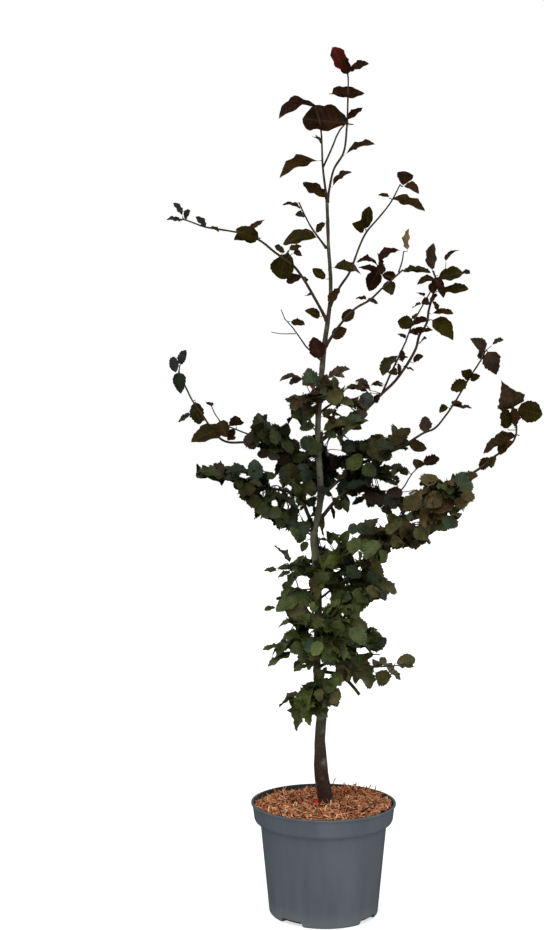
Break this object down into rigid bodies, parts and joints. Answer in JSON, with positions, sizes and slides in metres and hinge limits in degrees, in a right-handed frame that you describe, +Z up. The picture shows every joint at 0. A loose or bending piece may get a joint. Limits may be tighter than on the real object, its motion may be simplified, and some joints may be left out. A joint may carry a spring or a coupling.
{
  "type": "potted copper beech tree",
  "caption": "Young copper beech with one slender stem, open rising boughs and dark bronze-green foliage, growing in a round grey nursery pot topped with bark mulch.",
  "frame": {"origin": "centre of the pot's flat underside, on the ground", "axes": "+Z up the stem, +X to the viewer's right, +Y away from the viewer"},
  "size_m": [0.6521, 0.4043, 1.5487],
  "materials": {
    "pot_plastic": "satin",
    "soil": "matte",
    "mulch": "matte",
    "bark": "matte",
    "twig_bark": "satin",
    "leaf_red": "satin",
    "leaf_bronze": "satin",
    "leaf_olive": "satin",
    "leaf_grey_green": "satin",
    "leaf_dark_green": "satin",
    "leaf_green": "satin"
  },
  "bodies": {
    "root": {"back_lower_mass": "leaf_dark_green", "back_upper_mass": "leaf_dark_green", "bottom_mass": "leaf_green", "bottom_spray_leaves": "leaf_green", "bough_bottom_twig": "twig_bark", "bough_leader_left": "twig_bark", "bough_leader_right_lower": "twig_bark", "bough_leader_right_upper": "twig_bark", "bough_left_long_inner": "twig_bark", "bough_left_long_middle": "twig_bark", "bough_left_long_outer": "twig_bark", "bough_left_low": "twig_bark", "bough_left_twig": "twig_bark", "bough_left_wide_inner": "twig_bark", "bough_left_wide_outer": "twig_bark", "bough_right_arch": "twig_bark", "bough_right_crotch": "twig_bark", "bough_right_far_inner": "twig_bark", "bough_right_far_outer": "twig_bark", "bough_right_high": "twig_bark", "bough_right_low": "twig_bark", "bough_right_mid": "twig_bark", "bough_right_rising": "twig_bark", "core_left_mass": "leaf_green", "core_right_mass": "leaf_dark_green", "front_mass": "leaf_green", "leader_leaves": "leaf_bronze", "left_long_inner_leaves": "leaf_bronze", "left_long_middle_leaves": "leaf_bronze", "left_long_tip_leaves": "leaf_bronze", "left_lower_mass": "leaf_dark_green", "left_outer_mass": "leaf_dark_green", "left_spray_mass": "leaf_green", "left_twig_leaves": "leaf_bronze", "left_upper_mass": "leaf_dark_green", "left_wide_leaves": "leaf_grey_green", "left_wide_tip_leaves": "leaf_grey_green", "low_right_mass": "leaf_green", "mulch": "mulch", "pot": "pot_plastic", "right_arch_leaves": "leaf_bronze", "right_arch_tip_leaves": "leaf_bronze", "right_far_leaves": "leaf_bronze", "right_far_tip_leaves": "leaf_bronze", "right_high_leaves": "leaf_olive", "right_lower_mass": "leaf_olive", "right_mid_leaves": "leaf_bronze", "right_outer_mass": "leaf_olive", "right_rising_leaves": "leaf_bronze", "right_upper_mass": "leaf_dark_green", "root_ball": "soil", "stem_leaf": "leaf_dark_green", "stem_left_leaves": "leaf_dark_green", "stem_right_leaves": "leaf_dark_green", "top_left_leaves": "leaf_bronze", "top_tip": "leaf_red", "trunk": "bark", "upper_left_leaf": "leaf_bronze"}
  },
  "joints": []
}
